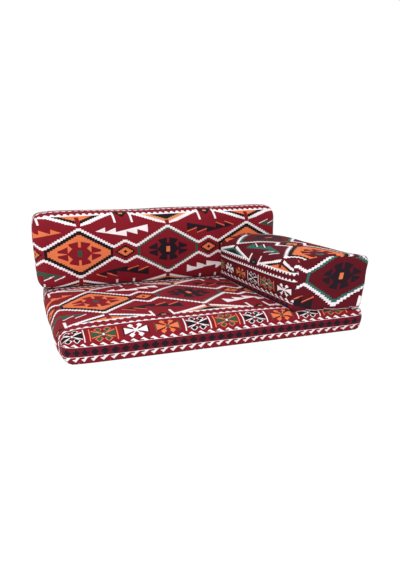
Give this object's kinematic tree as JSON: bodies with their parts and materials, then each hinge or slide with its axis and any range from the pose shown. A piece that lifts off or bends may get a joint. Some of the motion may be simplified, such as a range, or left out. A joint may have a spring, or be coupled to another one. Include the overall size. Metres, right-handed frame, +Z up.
{
  "type": "majlis floor sofa",
  "caption": "Low floor sofa of a flat seat mattress with a loose back cushion and a loose arm cushion, each a foam core in a zipped kilim cover.",
  "frame": {"origin": "on the floor, in the middle of the sofa's outer box", "axes": "+X to the right along the front as seen from the front, +Y to the rear, +Z up"},
  "size_m": [1.016, 0.7588, 0.3823],
  "materials": {
    "kilim_cloth": "flat-woven kilim pattern in crimson, orange, black, green and white",
    "lining_cloth": "plain black lining cloth",
    "foam": "open-cell foam",
    "zip_tape": "woven zip tape",
    "zip_coil": "nylon coil",
    "zip_metal": "satin nickel"
  },
  "bodies": {
    "seat": {"seat_foam_core": "foam", "seat_top_front_cover": "kilim_cloth", "seat_left_end_panel": "kilim_cloth", "seat_right_end_panel": "kilim_cloth", "seat_base_panel": "lining_cloth", "seat_rear_upper_strip": "kilim_cloth", "seat_rear_lower_strip": "kilim_cloth", "seat_zip_upper_tape": "zip_tape", "seat_zip_lower_tape": "zip_tape", "seat_zip_upper_coil": "zip_coil", "seat_zip_lower_coil": "zip_coil", "seat_zip_end_stops": "zip_metal"},
    "back_cushion": {"back_foam_core": "foam", "back_front_top_cover": "kilim_cloth", "back_left_end_panel": "kilim_cloth", "back_right_end_panel": "kilim_cloth", "back_base_panel": "lining_cloth", "back_rear_upper_panel": "kilim_cloth", "back_rear_lower_strip": "kilim_cloth", "back_zip_upper_tape": "zip_tape", "back_zip_lower_tape": "zip_tape", "back_zip_upper_coil": "zip_coil", "back_zip_lower_coil": "zip_coil", "back_zip_end_stops": "zip_metal"},
    "arm_cushion": {"arm_foam_core": "foam", "arm_side_top_cover": "kilim_cloth", "arm_front_panel": "kilim_cloth", "arm_rear_panel": "kilim_cloth", "arm_base_panel": "lining_cloth", "arm_outer_upper_panel": "kilim_cloth", "arm_outer_lower_strip": "kilim_cloth", "arm_zip_upper_tape": "zip_tape", "arm_zip_lower_tape": "zip_tape", "arm_zip_upper_coil": "zip_coil", "arm_zip_lower_coil": "zip_coil", "arm_zip_end_stops": "zip_metal"},
    "seat_slider": {"seat_zip_slider": "zip_metal"},
    "seat_pull": {"seat_zip_pull_tab": "zip_metal"},
    "back_slider": {"back_zip_slider": "zip_metal"},
    "back_pull": {"back_zip_pull_tab": "zip_metal"},
    "arm_slider": {"arm_zip_slider": "zip_metal"},
    "arm_pull": {"arm_zip_pull_tab": "zip_metal"}
  },
  "joints": [
    {"name": "back_lift", "type": "slide", "parent": "seat", "child": "back_cushion", "axis": [0, 0, 1], "range_m": [0, 0.19]},
    {"name": "arm_lift", "type": "slide", "parent": "seat", "child": "arm_cushion", "axis": [0, 0, 1], "range_m": [0, 0.314]},
    {"name": "seat_zip_slide", "type": "slide", "parent": "seat", "child": "seat_slider", "axis": [-1, 0, 0], "range_m": [0, 0.815]},
    {"name": "seat_pull_hinge", "type": "hinge", "parent": "seat_slider", "child": "seat_pull", "pos_m": [0.4155, 0.3774, 0.04], "axis": [0, 0, -1], "range_deg": [0, 175]},
    {"name": "back_zip_slide", "type": "slide", "parent": "back_cushion", "child": "back_slider", "axis": [-1, 0, 0], "range_m": [0, 0.811]},
    {"name": "back_pull_hinge", "type": "hinge", "parent": "back_slider", "child": "back_pull", "pos_m": [0.3975, 0.3774, 0.1403], "axis": [0, 0, -1], "range_deg": [0, 175]},
    {"name": "arm_zip_slide", "type": "slide", "parent": "arm_cushion", "child": "arm_slider", "axis": [0, -1, 0], "range_m": [0, 0.4172]},
    {"name": "arm_pull_hinge", "type": "hinge", "parent": "arm_slider", "child": "arm_pull", "pos_m": [0.49568, 0.1442, 0.13201], "axis": [0.1196, 0, 0.9928], "range_deg": [0, 175]}
  ]
}
